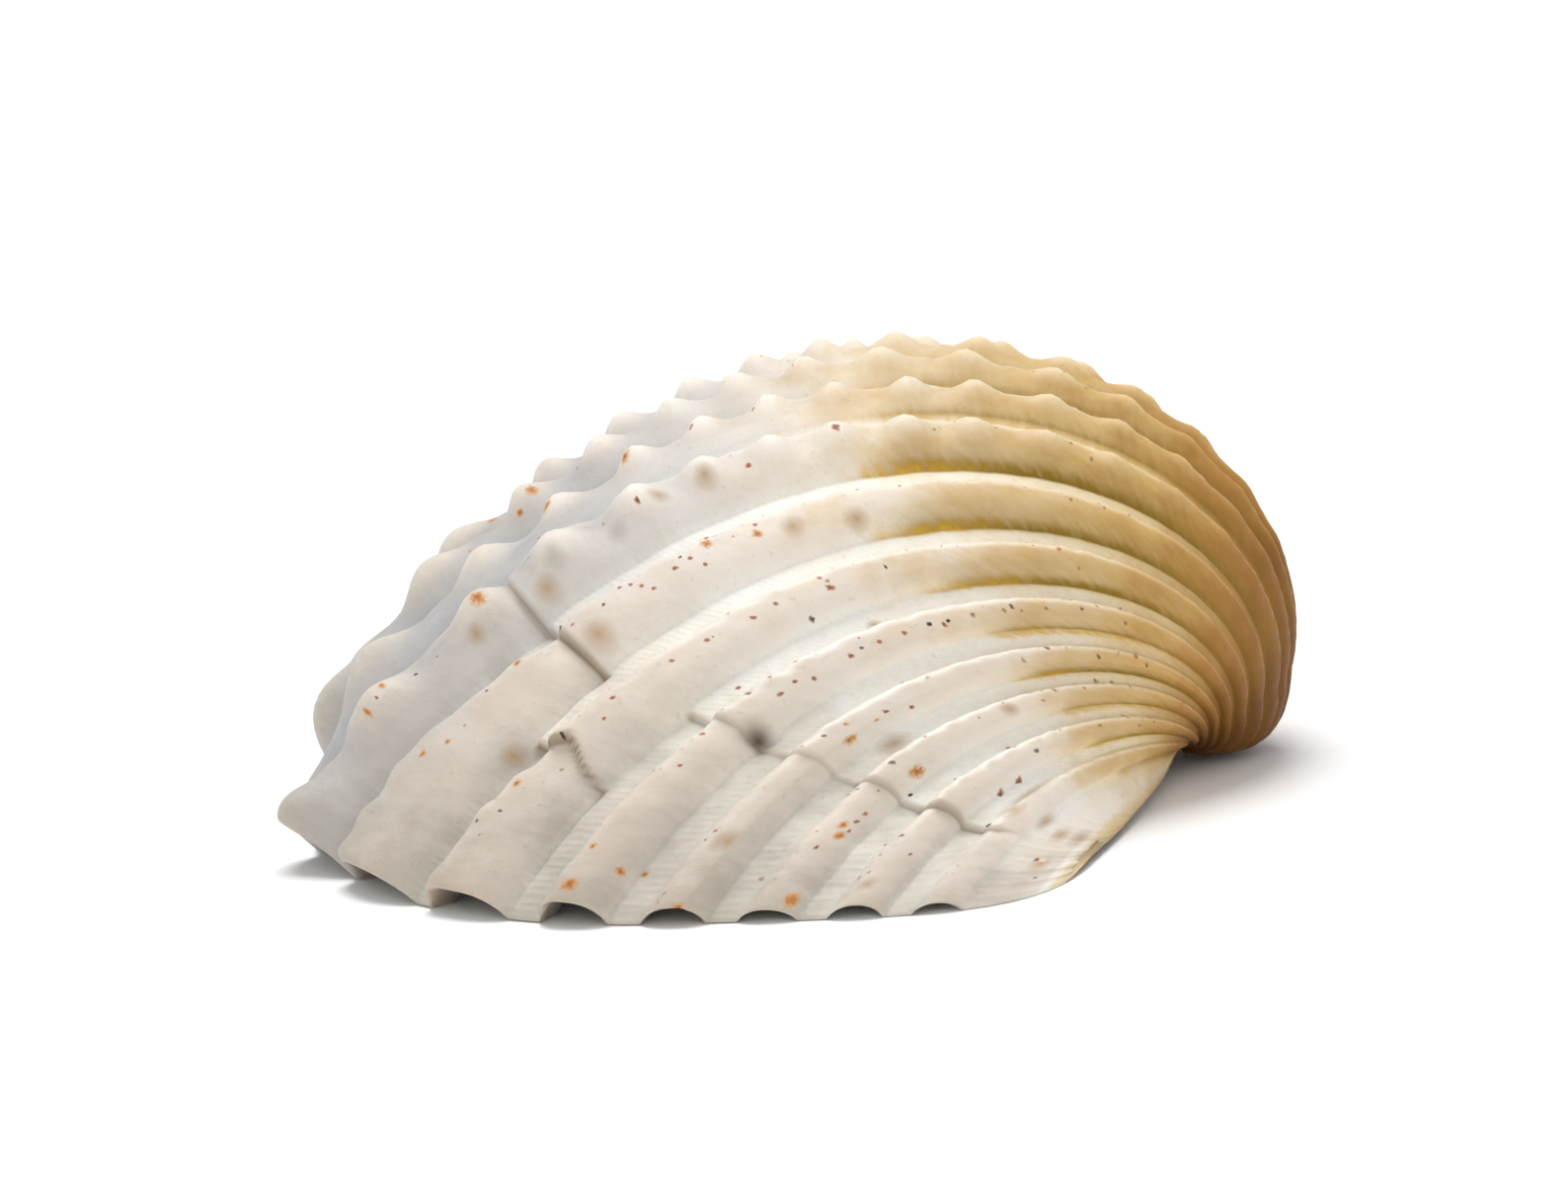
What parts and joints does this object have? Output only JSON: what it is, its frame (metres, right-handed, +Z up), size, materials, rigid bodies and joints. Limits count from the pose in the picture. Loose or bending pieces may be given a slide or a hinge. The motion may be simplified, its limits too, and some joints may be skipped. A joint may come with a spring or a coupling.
{
  "type": "ark shell",
  "caption": "Empty ark clam valve, domed side up, with strong radial ribs, knobbed crests, a scalloped margin, a curled beak and a toothed hinge plate.",
  "frame": {"origin": "middle of the footprint, on the surface that the margin rests on", "axes": "+Z up through the dome, +X towards the beak and hinge, +Y along the hinge towards the shorter front end"},
  "size_m": [0.04, 0.0517, 0.0171],
  "materials": {
    "shell": "satin"
  },
  "bodies": {
    "root": {"valve": "shell"}
  },
  "joints": []
}
